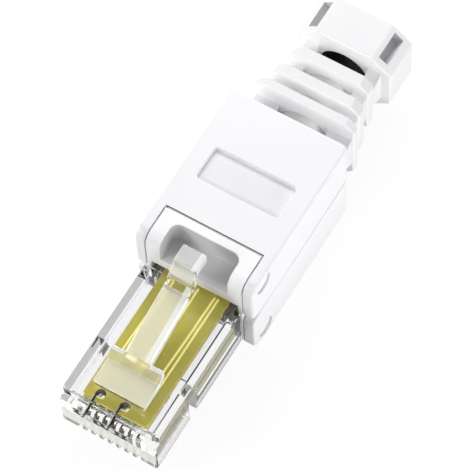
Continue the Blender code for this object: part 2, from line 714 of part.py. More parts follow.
def make_webs(start, end, half):
    """The two side webs of one gap, each wider at its rear end, so the gap ends in a V."""
    side_view = [
        (start, AXIS_HEIGHT - WEB_NARROW), (end, AXIS_HEIGHT - WEB_WIDE),
        (end, AXIS_HEIGHT + WEB_WIDE), (start, AXIS_HEIGHT + WEB_NARROW),
    ]
    inner = CABLE_RADIUS + FIT_GAP / 3
    left = prism("web", side_view, "X", -half, -inner)
    right = prism("web", side_view, "X", inner, half)
    return left, right


def make_rib(start, end, width, height):
    outline = rounded_rectangle(
        width / 2, height / 2, RIB_CORNER, steps=1, centre=(0.0, AXIS_HEIGHT)
    )
    rib = prism("rib", outline, "Y", start, end)
    middle = (start + end) / 2
    for corner in rib.data.vertices:
        if corner.co.y > middle:
            corner.co.x *= (width - RIB_TAPER) / width
            corner.co.z = AXIS_HEIGHT + (corner.co.z - AXIS_HEIGHT) * (height - RIB_TAPER) / height
    round_edges(rib, RIB_EDGE, 1, lambda edge: is_sharp(edge, 50))
    return rib


def make_collar():
    half_width = COLLAR_WIDTH / 2
    half_height = COLLAR_HEIGHT / 2
    facet = COLLAR_TOP_FACET / 2
    flank = COLLAR_SIDE_FACET / 2
    corners = [
        (half_width, -flank), (half_width, flank), (facet, half_height), (-facet, half_height),
        (-half_width, flank), (-half_width, -flank), (-facet, -half_height), (facet, -half_height),
    ]
    outline = [(across, AXIS_HEIGHT + up) for across, up in corners]
    collar = prism("collar", outline, "Y", COLLAR_START, PLUG_LENGTH)
    round_edges(collar, COLLAR_EDGE, 2, is_sharp)

    slope = Vector((half_width - facet, flank - half_height))
    middle = Vector((facet, half_height)) + slope * VENT_PLACE
    along = slope.normalized() * VENT_WIDTH / 2
    inward = Vector((slope.y, -slope.x)).normalized() * VENT_DEPTH
    outward = -inward.normalized() * PAST
    window = [
        middle - along + outward, middle + along + outward, middle + along + inward, middle - along + inward,
    ]
    for across in (-1, 1):
        for up in (-1, 1):
            outline = [(across * point.x, AXIS_HEIGHT + up * point.y) for point in window]
            start = COLLAR_START + VENT_SETBACK
            cut(collar, prism("vent", outline, "Y", start, start + VENT_LENGTH))
    return collar


def build():
    clear_scene()
    root = bpy.data.objects.new("plug_origin", None)
    bpy.context.scene.collection.objects.link(root)
    root.location = (0.0, -PLUG_LENGTH / 2, 0.0)

    clear = plastic("clear_polycarbonate", (0.93, 0.94, 0.96), 0.05, transmission=0.9)
    white = plastic("white_shell", (0.87, 0.87, 0.88), 0.38)
    frame_white = plastic("white_frame", (0.84, 0.84, 0.85), 0.42)
    soft_white = plastic("soft_white_boot", (0.86, 0.86, 0.88), 0.5)
    terminal_white = plastic("terminal_plastic", (0.78, 0.78, 0.76), 0.45)
    olive = plastic("olive_board", (0.38, 0.35, 0.10), 0.4)
    gold = plastic("gold_contact", (0.85, 0.63, 0.28), 0.22, metallic=1.0)
    tin = plastic("tinned_terminal", (0.75, 0.75, 0.77), 0.3, metallic=1.0)

    complete(make_frame(), frame_white, root)
    complete(make_nose(), clear, root)
    hinge_line = (0.0, LATCH_START + LATCH_HINGE, NOSE_TOP + FIT_GAP)
    complete(make_latch(), clear, root, origin=hinge_line)
    complete(make_board(), olive, root)
    for number, place in enumerate(contact_places(), start=1):
        complete(make_contact(number, place), gold, root)
    complete(make_terminal_block("upper_terminal_block", 1), terminal_white, root)
    complete(make_terminal_block("lower_terminal_block", -1), terminal_white, root)
    for number, place in enumerate(terminal_places(), start=1):
        complete(make_terminal(number, place, 1), tin, root)
        complete(make_terminal(number + TERMINALS_PER_ROW, place, -1), tin, root)
    complete(make_wire_manager(), terminal_white, root)
    complete(make_boot(), soft_white, root)
    upper_hinge = (0.0, PIVOT_STATION, UPPER_PIVOT)
    complete(make_shell("upper_shell", 1, has_label=True), white, root, origin=upper_hinge)
    lower_hinge = (0.0, PIVOT_STATION, LOWER_PIVOT)
    complete(make_shell("lower_shell", -1, has_label=False), white, root, origin=lower_hinge)


build()
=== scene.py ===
"""Looks of the field termination ethernet plug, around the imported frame, in metres."""

import math

import bmesh
import bpy
from mathutils import Matrix, Vector


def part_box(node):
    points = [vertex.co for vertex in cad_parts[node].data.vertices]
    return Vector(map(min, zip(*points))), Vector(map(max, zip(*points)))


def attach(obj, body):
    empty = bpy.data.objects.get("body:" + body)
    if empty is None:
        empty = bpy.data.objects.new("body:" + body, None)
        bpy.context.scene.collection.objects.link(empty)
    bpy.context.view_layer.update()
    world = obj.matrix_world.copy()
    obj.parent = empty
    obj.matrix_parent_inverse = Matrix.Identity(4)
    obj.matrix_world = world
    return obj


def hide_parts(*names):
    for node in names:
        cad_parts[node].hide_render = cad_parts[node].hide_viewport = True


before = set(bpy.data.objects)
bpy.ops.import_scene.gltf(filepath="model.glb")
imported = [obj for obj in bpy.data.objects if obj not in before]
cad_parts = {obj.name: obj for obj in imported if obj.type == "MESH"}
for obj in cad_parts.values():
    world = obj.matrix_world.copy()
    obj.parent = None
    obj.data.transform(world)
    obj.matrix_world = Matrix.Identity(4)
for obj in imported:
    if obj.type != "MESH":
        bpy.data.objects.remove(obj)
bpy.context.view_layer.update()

MM = 0.001

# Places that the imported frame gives. A place along the plug is its station: how far it lies
# behind the nose's tip.
NOSE_TIP = -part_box("plug_nose")[0][1]       # how far the tip lies in front of the origin
BOARD_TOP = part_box("circuit_board")[1][2]
BOOT_LOW, BOOT_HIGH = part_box("strain_relief_boot")
AXIS_LEVEL = (BOOT_LOW[2] + BOOT_HIGH[2]) / 2

# The camera, found by fitting the plug's edges in the photograph
CAMERA_AZIMUTH = 34.072
CAMERA_ELEVATION = 62.873
CAMERA_ROLL = -3.644
CAMERA_DISTANCE = 331.64 * MM
CAMERA_TARGET = Vector((3.227, -5.95, 17.516)) * MM
CAMERA_LENS = 248.2
CAMERA_SENSOR = 36.0
CAMERA_NEAREST = 0.01
CAMERA_FARTHEST = 10.0

ACROSS = (1.0, 0.0, 0.0)
ALONG = (0.0, 1.0, 0.0)
UP = (0.0, 0.0, 1.0)

# How much of a face's normal lies along a direction that it faces
SQUARE_ON = 0.9
MOSTLY = 0.5
PARTLY = 0.3


def new_object(name, data):
    """A new object in the scene, made from a mesh, a curve, a lamp or a camera."""
    made = bpy.data.objects.new(name, data)
    bpy.context.scene.collection.objects.link(made)
    return made


def object_from(work, name):
    """Turns finished mesh work into an object."""
    mesh = bpy.data.meshes.new(name)
    work.to_mesh(mesh)
    work.free()
    return new_object(name, mesh)


def station_of(face):
    """The station of a face's middle."""
    return face.center.y + NOSE_TIP


def add_camera():
    azimuth = math.radians(CAMERA_AZIMUTH)
    elevation = math.radians(CAMERA_ELEVATION)
    roll = math.radians(CAMERA_ROLL)
    outward = Vector((math.sin(azimuth), -math.cos(azimuth), 0.0))
    back = outward * math.cos(elevation) + Vector(UP) * math.sin(elevation)
    level_right = Vector((math.cos(azimuth), math.sin(azimuth), 0.0))
    level_up = back.cross(level_right)
    right = level_right * math.cos(roll) + level_up * math.sin(roll)
    up = back.cross(right)
    data = bpy.data.cameras.new("photo_view")
    data.sensor_width = CAMERA_SENSOR
    data.lens = CAMERA_LENS
    data.clip_start = CAMERA_NEAREST
    data.clip_end = CAMERA_FARTHEST
    camera = new_object("photo_view", data)
    turn = Matrix((right, up, back)).transposed().to_4x4()
    camera.matrix_world = Matrix.Translation(CAMERA_TARGET + back * CAMERA_DISTANCE) @ turn
    bpy.context.scene.camera = camera


# Materials

CLEAR_INDEX = 1.45              # how much the clear plastic bends light
WINDOW_INDEX = 1.1              # the front wall, whose face mirrors less of the white table
WHITE_INDEX = 1.5
GRAIN_DEPTH = 0.01 * MM
NOISE_MIDDLE = (0.3, 0.7)       # most of a noise pattern's values lie between these
NOISE_ROUGHNESS = 0.55
WHITE_LIGHT = (1.0, 1.0, 1.0)


def new_material(name):
    material = bpy.data.materials.new(name)
    material.use_nodes = True
    return material, material.node_tree, material.node_tree.nodes["Principled BSDF"]


def add_node(tree, kind, **settings):
    node = tree.nodes.new(kind)
    for key, value in settings.items():
        setattr(node, key, value)
    return node


def noise_on_object(tree, scale, detail, stretch=(1.0, 1.0, 1.0)):
    """A noise pattern in the object's own coordinates."""
    place = add_node(tree, "ShaderNodeTexCoord")
    mapping = add_node(tree, "ShaderNodeMapping")
    mapping.inputs["Scale"].default_value = stretch
    noise = add_node(tree, "ShaderNodeTexNoise")
    noise.inputs["Scale"].default_value = scale
    noise.inputs["Detail"].default_value = detail
    noise.inputs["Roughness"].default_value = NOISE_ROUGHNESS
    tree.links.new(place.outputs["Object"], mapping.inputs["Vector"])
    tree.links.new(mapping.outputs["Vector"], noise.inputs["Vector"])
    return noise


def spread(tree, noise, low, high):
    """Carries the middle of a noise pattern's values into a range."""
    node = add_node(tree, "ShaderNodeMapRange")
    node.inputs["From Min"].default_value = NOISE_MIDDLE[0]
    node.inputs["From Max"].default_value = NOISE_MIDDLE[1]
    node.inputs["To Min"].default_value = low
    node.inputs["To Max"].default_value = high
    tree.links.new(noise.outputs["Fac"], node.inputs["Value"])
    return node.outputs["Result"]


def vary_colour(tree, shader, noise, light, dark):
    node = add_node(tree, "ShaderNodeMix", data_type="RGBA")
    node.inputs["A"].default_value = (*light, 1.0)
    node.inputs["B"].default_value = (*dark, 1.0)
    tree.links.new(spread(tree, noise, 0.0, 1.0), node.inputs["Factor"])
    tree.links.new(node.outputs["Result"], shader.inputs["Base Color"])


def vary_roughness(tree, shader, noise, low, high):
    tree.links.new(spread(tree, noise, low, high), shader.inputs["Roughness"])


def add_bump(tree, shader, noise, strength, distance):
    node = add_node(tree, "ShaderNodeBump")
    node.inputs["Strength"].default_value = strength
    node.inputs["Distance"].default_value = distance
    tree.links.new(noise.outputs["Fac"], node.inputs["Height"])
    tree.links.new(node.outputs["Normal"], shader.inputs["Normal"])


def set_glow(shader, colour, strength):
    shader.inputs["Emission Color"].default_value = (*colour, 1.0)
    shader.inputs["Emission Strength"].default_value = strength


def moulded_white(name, colour, roughness, grain, mottle=0.02, glow=0.0):
    """White plastic with the faint mottle and fine spark grain of a mould.
    A small glow stands for the light that comes through thin plastic."""
    material, tree, shader = new_material(name)
    duller = [channel - mottle for channel in colour]
    vary_colour(tree, shader, noise_on_object(tree, scale=260.0, detail=3.0), colour, duller)
    fine = noise_on_object(tree, scale=9000.0, detail=2.0)
    vary_roughness(tree, shader, fine, roughness - 0.05, roughness + 0.06)
    add_bump(tree, shader, fine, grain, GRAIN_DEPTH)
    shader.inputs["IOR"].default_value = WHITE_INDEX
    set_glow(shader, WHITE_LIGHT, glow)
    return material


def clear_plastic(name, colour, roughness=0.05, clearness=1.0, index=CLEAR_INDEX):
    """Clear plastic. A clearness below 1 adds a milky share that takes the light itself."""
    material, tree, shader = new_material(name)
    shader.inputs["Base Color"].default_value = (*colour, 1.0)
    shader.inputs["Transmission Weight"].default_value = clearness
    shader.inputs["IOR"].default_value = index
    fine = noise_on_object(tree, scale=1500.0, detail=2.0)
    vary_roughness(tree, shader, fine, roughness, roughness + 0.02)
    return material


def solder_mask(name, light, dark, glow_colour, glow):
    material, tree, shader = new_material(name)
    vary_colour(tree, shader, noise_on_object(tree, scale=700.0, detail=3.0), light, dark)
    fine = noise_on_object(tree, scale=6000.0, detail=2.0)
    vary_roughness(tree, shader, fine, low=0.32, high=0.42)
    add_bump(tree, shader, fine, strength=0.15, distance=GRAIN_DEPTH)
    # The glow is painted light
    set_glow(shader, glow_colour, glow)
    return material


def glowing_plating(name, colour, glow):
    """Bright plated copper, which the photograph shows lighter than the mask around it; its glow is painted
    light.
    """
    material, tree, shader = new_material(name)
    shader.inputs["Base Color"].default_value = (*colour, 1.0)
    shader.inputs["Metallic"].default_value = 0.1
    set_glow(shader, colour, glow)
    vary_roughness(tree, shader, noise_on_object(tree, scale=4000.0, detail=2.0), low=0.5, high=0.65)
    return material


def matte(name, light, dark, roughness=0.5):
    material, tree, shader = new_material(name)
    vary_colour(tree, shader, noise_on_object(tree, scale=1200.0, detail=3.0), light, dark)
    shader.inputs["Roughness"].default_value = roughness
    shader.inputs["Specular IOR Level"].default_value = 0.2
    return material


def plated(name, light, dark, roughness, metal):
    """Metal plating, drawn out in streaks along the plug."""
    material, tree, shader = new_material(name)
    streaks = noise_on_object(tree, scale=2500.0, detail=3.0, stretch=(1.0, 0.15, 1.0))
    vary_colour(tree, shader, streaks, light, dark)
    vary_roughness(tree, shader, streaks, roughness - 0.06, roughness + 0.08)
    shader.inputs["Metallic"].default_value = metal
    return material


SHELL_WHITE = moulded_white("shell_white", (0.90, 0.90, 0.92), roughness=0.36, grain=0.06)
FRAME_WHITE = moulded_white("frame_white", (0.96, 0.96, 0.975), roughness=0.34, grain=0.05)
BOOT_WHITE = moulded_white("boot_white", (0.87, 0.87, 0.885), roughness=0.46, grain=0.12)
# Painted light: a glow on the front faces of the boot's ribs and collar, for light that comes through the
# thin plastic
BOOT_FRONT_PAINTED_GLOW = moulded_white("boot_front_white", (0.87, 0.87, 0.875), roughness=0.46, grain=0.12, glow=0.12)
# Painted shade: the tops of the boot's ribs are a little darker than the collar
RIB_TOP_PAINTED_SHADE = moulded_white("rib_top_white", (0.80, 0.80, 0.815), roughness=0.46, grain=0.12)
# Painted shade: the upper shell's label floor is a little darker than the faces round it
LABEL_FLOOR_PAINTED_SHADE = moulded_white("label_white", (0.84, 0.84, 0.86), roughness=0.4, grain=0.12, mottle=0.03)
# Painted shade: the grey, faintly glowing floor of the groove between the frame and the upper shell
SEAM_PAINTED_SHADE = moulded_white("seam_grey", (0.80, 0.80, 0.82), roughness=0.5, grain=0.05, glow=0.22)
INNER_WHITE = moulded_white("inner_white", (0.80, 0.80, 0.79), roughness=0.45, grain=0.08, mottle=0.03)
# Painted shade: the finger recess is darker than the frame round it
RECESS_PAINTED_SHADE = moulded_white("recess_grey", (0.68, 0.68, 0.695), roughness=0.4, grain=0.05)
# Painted shade: the insides of the collar's four vents are darker
VENT_PAINTED_SHADE = moulded_white("vent_grey", (0.74, 0.74, 0.75), roughness=0.5, grain=0.1, mottle=0.03)
GUIDE_GREY = moulded_white("guide_tube_grey", (0.82, 0.82, 0.82), roughness=0.4, grain=0.05, mottle=0.04)
CLEAR = clear_plastic("clear_polycarbonate", (0.985, 0.985, 0.995), roughness=0.0)
# Painted shade: the nose's top faces at the far left are tinted grey
CLEAR_LEFT_PAINTED_SHADE = clear_plastic("clear_left_wall", (0.33, 0.33, 0.335), roughness=0.0)
# Painted reflection: the nose's right flank is tinted dark olive, for the board seen through it
CLEAR_RIGHT_PAINTED_REFLECTION = clear_plastic("clear_right_flank", (0.14, 0.12, 0.03), roughness=0.0)
CLEAR_FRONT = clear_plastic("clear_front_wall", (0.985, 0.985, 0.995), roughness=0.0, index=WINDOW_INDEX)
BEAM_MILKY = clear_plastic("front_beam_milky", (0.97, 0.97, 0.90), clearness=0.25)
FLANK_MILKY = clear_plastic("flank_foot_milky", (0.90, 0.90, 0.94), clearness=0.35)
COMB_GREY = clear_plastic("comb_end_grey", (0.52, 0.52, 0.50), clearness=0.5)
# Painted shade: the nose's tail, inside the frame's mouth, tinted dark
TAIL_PAINTED_SHADE = clear_plastic("tail_in_shade", (0.13, 0.135, 0.15), clearness=0.1)
CLEAR_LATCH = clear_plastic("clear_latch", (0.985, 0.98, 0.96), roughness=0.02)
LATCH_CREAM = clear_plastic("latch_top_cream", (0.94, 0.92, 0.74), roughness=0.04, clearness=0.35)
LATCH_TAN = clear_plastic("latch_fold_tan", (0.86, 0.82, 0.55), roughness=0.08, clearness=0.45)
LATCH_RAMP = clear_plastic("latch_ramp_cream", (0.97, 0.95, 0.80), roughness=0.03, clearness=0.65)
LATCH_GREY = clear_plastic("latch_pad_grey", (0.90, 0.90, 0.92), clearness=0.5)
# Painted highlight: near-white right and rear faces, ears and right part of the stem's top of the latch
LATCH_PAINTED_HIGHLIGHT = clear_plastic("latch_side_white", (0.98, 0.98, 0.97), clearness=0.15)
# The olive is the board's own colour; its warm glow is painted light, for the light that reaches it through
# the clear nose
BOARD_OLIVE_PAINTED_GLOW = solder_mask(
    "olive_solder_mask", (0.84, 0.765, 0.06), (0.79, 0.715, 0.05), glow_colour=(0.9, 0.76, 0.28), glow=0.08
)
# Painted light: the traces, vias and hole rims glow yellow
TRACE_YELLOW_PAINTED_GLOW = glowing_plating("trace_yellow", (1.0, 0.93, 0.33), glow=0.6)
# Painted shade: dark brown over part of each plated hole
HOLE_PAINTED_SHADE = matte("plated_hole_brown", (0.045, 0.035, 0.03), (0.03, 0.022, 0.018))
# Painted shade: black strips where the nose's clear fins and front wall look dark
FIN_PAINTED_SHADE = matte("fin_black", (0.008, 0.008, 0.009), (0.005, 0.005, 0.006))
# Painted highlight: white strips beside the fins and behind the front marks
FIN_PAINTED_HIGHLIGHT = matte("fin_white", (0.92, 0.92, 0.88), (0.88, 0.88, 0.84))
# Painted shade: a near-black sleeve that darkens the collar's bore
BORE_PAINTED_SHADE = matte("bore_lining_dark", (0.02, 0.02, 0.02), (0.012, 0.012, 0.012), roughness=0.8)
CONTACT_GOLD = plated("contact_plating", (0.93, 0.90, 0.84), (0.87, 0.83, 0.74), roughness=0.26, metal=0.55)
TERMINAL_TIN = plated("tinned_steel", (0.78, 0.78, 0.80), (0.70, 0.70, 0.72), roughness=0.3, metal=1.0)


# Mouldings, from copies of the frame's solids

SHELL_EDGE = 0.07 * MM          # how far each moulding's edges are rounded
FRAME_EDGE = 0.09 * MM
BOOT_EDGE = 0.1 * MM
EDGE_SEGMENTS = 3
EDGE_ANGLE = math.radians(32.0)         # an edge that turns more than this is rounded
FLAT_ANGLE = math.radians(1.0)          # faces that turn less than this become one
WELD_DISTANCE = 0.002 * MM
CUT_SLACK = 0.0001 * MM

# Shading breaks at an edge that turns more than this, in degrees
SHARP_EDGE = 35.0
NOSE_SHARP_EDGE = 20.0
LATCH_SHARP_EDGE = 8.0


def welded_copy(node, name):
    """A copy of a CAD node as a clean mesh, with its points merged and its flat faces whole."""
    work = bmesh.new()
    work.from_mesh(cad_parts[node].data)
    bmesh.ops.remove_doubles(work, verts=work.verts, dist=WELD_DISTANCE)
    bmesh.ops.dissolve_limit(
        work, angle_limit=FLAT_ANGLE, use_dissolve_boundaries=False,
        verts=work.verts, edges=work.edges, delimit=set(),
    )
    bmesh.ops.recalc_face_normals(work, faces=work.faces)
    return object_from(work, name)


def settle(piece):
    """Turns what a piece's modifiers make into its own plain mesh."""
    graph = bpy.context.evaluated_depsgraph_get()
    mesh = bpy.data.meshes.new_from_object(piece.evaluated_get(graph))
    piece.modifiers.clear()
    piece.data = mesh


def soften(piece, width):
    """Rounds every sharp edge of a moulding."""
    bevel = piece.modifiers.new("edges", "BEVEL")
    bevel.width = width
    bevel.segments = EDGE_SEGMENTS
    bevel.limit_method = "ANGLE"
    bevel.angle_limit = EDGE_ANGLE
    bevel.use_clamp_overlap = True
    bevel.harden_normals = False
    settle(piece)


def shade(piece, sharp_edge=SHARP_EDGE):
    """Smooth shading that stays flat on the large faces beside a rounded edge."""
    piece.data.shade_smooth()
    piece.data.set_sharp_from_angle(angle=math.radians(sharp_edge))
    even = piece.modifiers.new("even_normals", "WEIGHTED_NORMAL")
    even.keep_sharp = True
    even.weight = 100
    settle(piece)


def put_on(piece, material, body, slot, *nodes):
    """Gives a finished piece its material, the body it moves with and the nodes it stands for."""
    piece.data.materials.clear()
    piece.data.materials.append(material)
    if nodes:
        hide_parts(*nodes)
    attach(piece, body)


def dress_moulding(node, name, material, body, slot, width):
    piece = welded_copy(node, name)
    soften(piece, width)
    shade(piece)
    put_on(piece, material, body, slot, node)
    return piece


def paint_faces(piece, finishes, finish_of):
    """Gives each face one of several finishes. The first is already on the piece."""
    for finish in finishes[1:]:
        piece.data.materials.append(finish)
    for face in piece.data.polygons:
        face.material_index = finishes.index(finish_of(face))


def cut_faces(piece, direction, places):
    """Cuts a piece's faces along planes square to a direction, so that finishes can meet there."""
    for place in places:
        work = bmesh.new()
        work.from_mesh(piece.data)
        bmesh.ops.bisect_plane(
            work, geom=list(work.verts) + list(work.edges) + list(work.faces), dist=CUT_SLACK,
            plane_co=Vector(direction) * place, plane_no=direction,
        )
        work.to_mesh(piece.data)
        work.free()


LABEL_LEVEL = (12.5 * MM, 13.66 * MM)


def painted_label_shade(face):
    on_floor = face.normal.z > SQUARE_ON and LABEL_LEVEL[0] < face.center.z < LABEL_LEVEL[1]
    return LABEL_FLOOR_PAINTED_SHADE if on_floor else SHELL_WHITE


def dress_shells():
    """The two half shells. The upper one's label floor is painted a little darker, as shade in its recess.
    """
    upper = dress_moulding(
        "upper_shell", "upper_half_shell", SHELL_WHITE, "upper_cover", "shell_plastic", SHELL_EDGE
    )
    paint_faces(upper, (SHELL_WHITE, LABEL_FLOOR_PAINTED_SHADE), painted_label_shade)
    dress_moulding(
        "lower_shell", "lower_half_shell", SHELL_WHITE, "lower_cover", "shell_plastic", SHELL_EDGE
    )


RECESS_PLACE = (17.7 * MM, 20.95 * MM)
RECESS_HALF = 4.15 * MM
RECESS_LEVEL = (10.35 * MM, 13.5 * MM)


def painted_recess_shade(face):
    along = RECESS_PLACE[0] < station_of(face) < RECESS_PLACE[1]
    up = RECESS_LEVEL[0] < face.center.z < RECESS_LEVEL[1]
    return RECESS_PAINTED_SHADE if along and up and abs(face.center.x) < RECESS_HALF else FRAME_WHITE


def dress_frame():
    """The frame, whose finger recess is painted darker than the faces round it, as shade."""
    piece = dress_moulding("plug_frame", "recess_frame", FRAME_WHITE, "chassis", "frame_plastic", FRAME_EDGE)
    paint_faces(piece, (FRAME_WHITE, RECESS_PAINTED_SHADE), painted_recess_shade)


RIBS_PLACE = 39.0 * MM
COLLAR_PLACE = 48.0 * MM
RIB_TOP_LEAN = 0.4
VENT_PLACE = (49.75 * MM, 53.35 * MM)
VENT_MIDDLE = Vector((4.387, 4.002)) * MM       # from the boot's axis, in one quarter
VENT_ALONG = Vector((0.778, -0.629))
VENT_INWARD = Vector((-0.629, -0.778))
VENT_HALF = 0.75 * MM
VENT_DEPTH = (0.12 * MM, 1.45 * MM)


def in_vent(face):
    """Whether a face is inside one of the collar's four vents, which mirror each other."""
    quarter = Vector((abs(face.center.x), abs(face.center.z - AXIS_LEVEL))) - VENT_MIDDLE
    deep = VENT_DEPTH[0] < quarter.dot(VENT_INWARD) < VENT_DEPTH[1]
    along = VENT_PLACE[0] < station_of(face) < VENT_PLACE[1]
    return deep and along and abs(quarter.dot(VENT_ALONG)) < VENT_HALF


def boot_painted_light_and_shade(face):
    station = station_of(face)
    if in_vent(face):
        return VENT_PAINTED_SHADE
    if face.normal.y < -PARTLY and station > RIBS_PLACE:
        return BOOT_FRONT_PAINTED_GLOW
    if face.normal.z > RIB_TOP_LEAN and RIBS_PLACE < station < COLLAR_PLACE:
        return RIB_TOP_PAINTED_SHADE
    return BOOT_WHITE


def dress_boot():
    """The ribbed boot: a painted glow on the fronts of its ribs and collar stands for light that comes
    through them, the ribs' tops are painted a little darker than the collar as shade, and the insides
    of its four vents are painted darker as shade."""
    piece = dress_moulding(
        "strain_relief_boot", "ribbed_boot", BOOT_WHITE, "chassis", "boot_plastic", BOOT_EDGE
    )
    paint_faces(piece, (BOOT_WHITE, VENT_PAINTED_SHADE, BOOT_FRONT_PAINTED_GLOW, RIB_TOP_PAINTED_SHADE), boot_painted_light_and_shade)


NOSE_REACH = 17.3 * MM                  # the clear tail, inside the frame's mouth, starts here
NOSE_TAIL_SIDE = 4.1 * MM               # the tail's two sides lie outside this
NOSE_FRONT = 0.05 * MM                  # faces before this are on the front
NOSE_LIP = 0.8 * MM
NOSE_FLANK = 5.82 * MM                  # faces outside this are on the right flank
BEAM_LOW = 3.1 * MM
BEAM_HIGH = 5.35 * MM
# the nose's top faces left of this are tinted grey as painted shade
LEFT_WALL_SHADE_PLACE = -4.9 * MM
FLANK_REFLECTION_LEVEL = 5.2 * MM
FLANK_MILKY_LEVEL = (2.5 * MM, 3.7 * MM)
FLANK_STEP_SIDE = 4.9 * MM
FLANK_STEP_PLACE = (7.5 * MM, 9.5 * MM)


def flank_finish(level):
    """The right flank shows the olive board above as a painted reflection, tinted dark olive, and is milky
    at its foot.
    """
    if level > FLANK_REFLECTION_LEVEL:
        return CLEAR_RIGHT_PAINTED_REFLECTION
    return FLANK_MILKY if FLANK_MILKY_LEVEL[0] < level < FLANK_MILKY_LEVEL[1] else CLEAR


def front_finish(level):
    """The front has grey comb ends below, a milky beam, and a clear wall above it."""
    if level < BEAM_LOW:
        return COMB_GREY
    return BEAM_MILKY if level < BEAM_HIGH else CLEAR_FRONT


def nose_finish(face):
    station = station_of(face)
    across, level = face.center.x, face.center.z
    # The tail's upward and forward faces inside the frame's mouth are tinted dark as painted shade
    if station > NOSE_REACH and abs(across) > NOSE_TAIL_SIDE:
        return TAIL_PAINTED_SHADE if face.normal.z > PARTLY or face.normal.y < -PARTLY else CLEAR
    if face.normal.z > SQUARE_ON and across < LEFT_WALL_SHADE_PLACE:
        return CLEAR_LEFT_PAINTED_SHADE
    if face.normal.x > SQUARE_ON and across > NOSE_FLANK:
        return flank_finish(level)
    if face.normal.y < -SQUARE_ON and station < NOSE_FRONT:
        return front_finish(level)
    on_step = across > FLANK_STEP_SIDE and FLANK_STEP_PLACE[0] < station < FLANK_STEP_PLACE[1]
    if face.normal.y < -SQUARE_ON and on_step:
        return BEAM_MILKY
    if face.normal.z > SQUARE_ON and station < NOSE_LIP and level > BEAM_HIGH:
        return CLEAR_FRONT
    return CLEAR


def dress_nose():
    """The clear nose, some of whose faces are tinted or milky, as the photograph shows them: the grey and
    dark tints are painted shade, and the olive one a painted reflection of the board.
    """
    nose = welded_copy("plug_nose", "clear_nose")
    cut_faces(nose, UP, (BEAM_LOW, BEAM_HIGH, FLANK_REFLECTION_LEVEL, *FLANK_MILKY_LEVEL))
    cut_faces(nose, ACROSS, (LEFT_WALL_SHADE_PLACE,))
    shade(nose, NOSE_SHARP_EDGE)
    put_on(nose, CLEAR, "chassis", "clear_plastic", "plug_nose")
    finishes = (CLEAR, CLEAR_LEFT_PAINTED_SHADE, CLEAR_RIGHT_PAINTED_REFLECTION, BEAM_MILKY, COMB_GREY, TAIL_PAINTED_SHADE, CLEAR_FRONT, FLANK_MILKY)
    paint_faces(nose, finishes, nose_finish)


# The latch's stations, from its root back to its finger pad, and then its places across
LATCH_FOLD_PLACE = 5.5 * MM
LATCH_EAR_PLACE = 6.25 * MM
LATCH_SHOULDER_PLACE = 6.6 * MM
LATCH_STEP_PLACE = 14.2 * MM
LATCH_STEP_REACH = 0.1 * MM             # the step's upright face lies this close to its place
LATCH_LANDING_PLACE = 15.0 * MM
LATCH_PAD_PLACE = 16.2 * MM
LATCH_STEM_HALF = 1.55 * MM
LATCH_HIGHLIGHT_PLACE = 0.8 * MM           # the stem's top has a painted highlight to the right of this
LATCH_UPPER_LEAN = 0.2


def latch_finish(face):
    station = station_of(face)
    at_step = abs(station - LATCH_STEP_PLACE) < LATCH_STEP_REACH
    if face.normal.x > MOSTLY and LATCH_STEP_PLACE < station < LATCH_PAD_PLACE:
        return CLEAR_LATCH
    if face.normal.x > MOSTLY or face.normal.y > SQUARE_ON:
        return LATCH_PAINTED_HIGHLIGHT
    if face.normal.z < LATCH_UPPER_LEAN and not at_step:
        return CLEAR_LATCH
    if station > LATCH_SHOULDER_PLACE and face.center.x > LATCH_HIGHLIGHT_PLACE and face.normal.z > MOSTLY:
        return LATCH_PAINTED_HIGHLIGHT
    if station > LATCH_PAD_PLACE or at_step:
        return LATCH_GREY
    if station > LATCH_LANDING_PLACE:
        return LATCH_RAMP
    if station > LATCH_STEP_PLACE:
        return CLEAR_LATCH
    if LATCH_EAR_PLACE < station < LATCH_SHOULDER_PLACE and abs(face.center.x) > LATCH_STEM_HALF:
        return LATCH_PAINTED_HIGHLIGHT
    if LATCH_FOLD_PLACE < station < LATCH_SHOULDER_PLACE:
        return LATCH_TAN
    return LATCH_CREAM


def dress_latch():
    """The latch, with milky upper faces and white flanks; the white is a painted highlight."""
    latch = welded_copy("latch", "latch_tongue_moulding")
    cut_faces(latch, ACROSS, (LATCH_HIGHLIGHT_PLACE,))
    stations = (LATCH_EAR_PLACE, LATCH_STEP_PLACE, LATCH_PAD_PLACE)
    cut_faces(latch, ALONG, [station - NOSE_TIP for station in stations])
    cut_faces(latch, ACROSS, (LATCH_STEM_HALF, -LATCH_STEM_HALF))
    shade(latch, LATCH_SHARP_EDGE)
    put_on(latch, CLEAR_LATCH, "latch_tongue", "clear_plastic", "latch")
    finishes = (CLEAR_LATCH, LATCH_CREAM, LATCH_TAN, LATCH_GREY, LATCH_PAINTED_HIGHLIGHT, LATCH_RAMP)
    paint_faces(latch, finishes, latch_finish)


# Paths and repeats, made with Geometry Nodes

DISC_SIDES = 20


def add_group(name, *lengths):
    group = bpy.data.node_groups.new(name, "GeometryNodeTree")
    group.interface.new_socket("Geometry", in_out="INPUT", socket_type="NodeSocketGeometry")
    for label in lengths:
        group.interface.new_socket(label, in_out="INPUT", socket_type="NodeSocketFloat")
    group.interface.new_socket("Material", in_out="INPUT", socket_type="NodeSocketMaterial")
    group.interface.new_socket("Geometry", in_out="OUTPUT", socket_type="NodeSocketGeometry")
    return group


def end_group(group, source, given):
    """Realizes what a group made, gives it the material and hands it out."""
    realize = group.nodes.new("GeometryNodeRealizeInstances")
    painted = group.nodes.new("GeometryNodeSetMaterial")
    out = group.nodes.new("NodeGroupOutput")
    group.links.new(source, realize.inputs["Geometry"])
    group.links.new(realize.outputs["Geometry"], painted.inputs["Geometry"])
    group.links.new(given.outputs["Material"], painted.inputs["Material"])
    group.links.new(painted.outputs["Geometry"], out.inputs["Geometry"])


